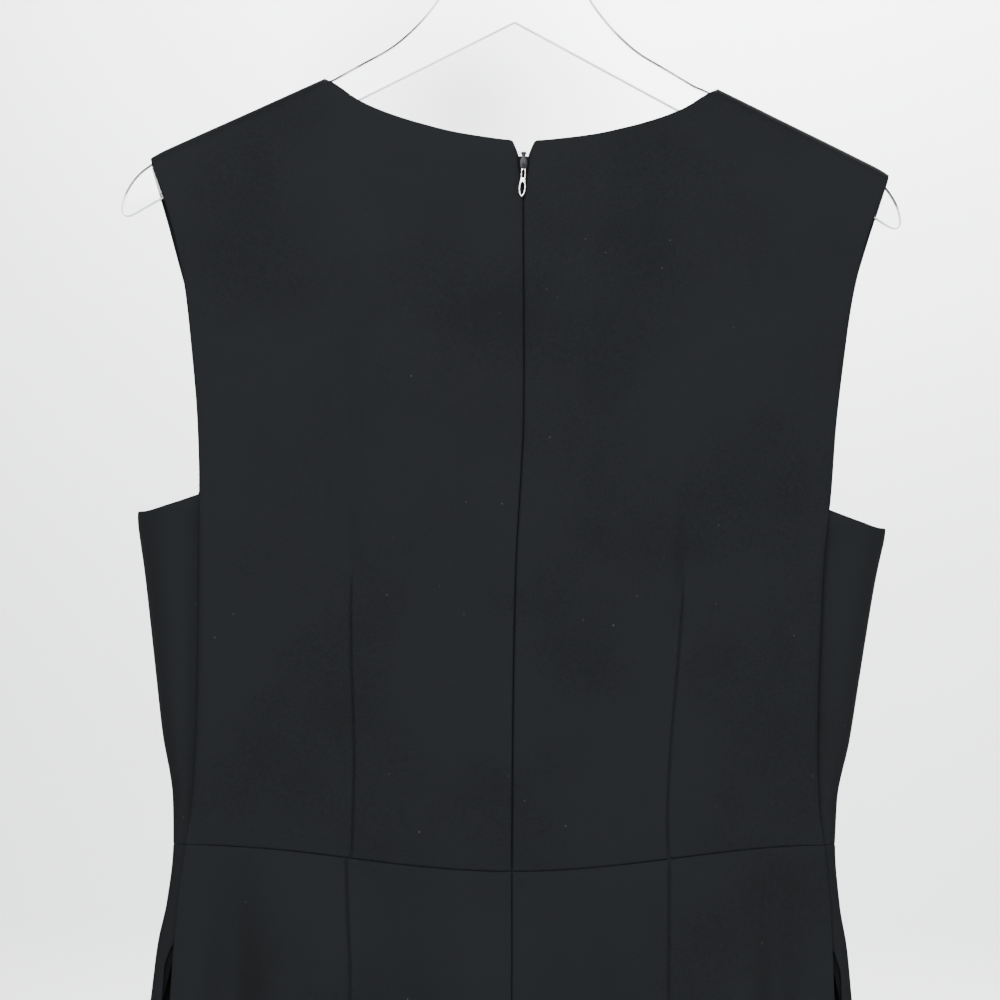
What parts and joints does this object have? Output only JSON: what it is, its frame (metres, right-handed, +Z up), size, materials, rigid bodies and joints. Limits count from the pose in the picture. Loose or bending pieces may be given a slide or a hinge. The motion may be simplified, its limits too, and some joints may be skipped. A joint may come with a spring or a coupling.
{
  "type": "sleeveless jumpsuit on a clothes hanger",
  "caption": "Black sleeveless wide-leg jumpsuit with a concealed back zip and side-seam pockets, hanging from a clear plate hanger with a metal hook.",
  "frame": {"origin": "inside of the hook's crown, where the rail carries it", "axes": "+Z up, -Y the side that shows in the picture, which is the garment's back, and +X the wearer's right"},
  "size_m": [0.45, 0.0825, 1.525],
  "materials": {
    "black cloth": "matte woven suiting with a faint sheen",
    "pocket cloth": "thin plain weave",
    "zip tape": "fine ribbed tape",
    "black metal": "black enamel",
    "silver metal": "polished plating",
    "clear plate": "clear acrylic, polished, with rounded edges"
  },
  "bodies": {
    "jumpsuit": {"bodice_back_left": "black cloth", "bodice_back_right": "black cloth", "bodice_front": "black cloth", "trouser_back_left": "black cloth", "trouser_back_right": "black cloth", "trouser_front_left": "black cloth", "trouser_front_right": "black cloth", "pocket_left_front": "pocket cloth", "pocket_left_back": "pocket cloth", "pocket_right_front": "pocket cloth", "pocket_right_back": "pocket cloth", "zip_tape": "zip tape", "zip_slider": "black metal", "hanger_plate": "clear plate", "hanger_hook": "silver metal"},
    "pull": {"zip_pull": "silver metal"}
  },
  "joints": [
    {"name": "pull_tab", "type": "hinge", "parent": "jumpsuit", "child": "pull", "pos_m": [0.00544, -0.01136, -0.19625], "axis": [-1, 0, 0], "range_deg": [0, 165]}
  ]
}
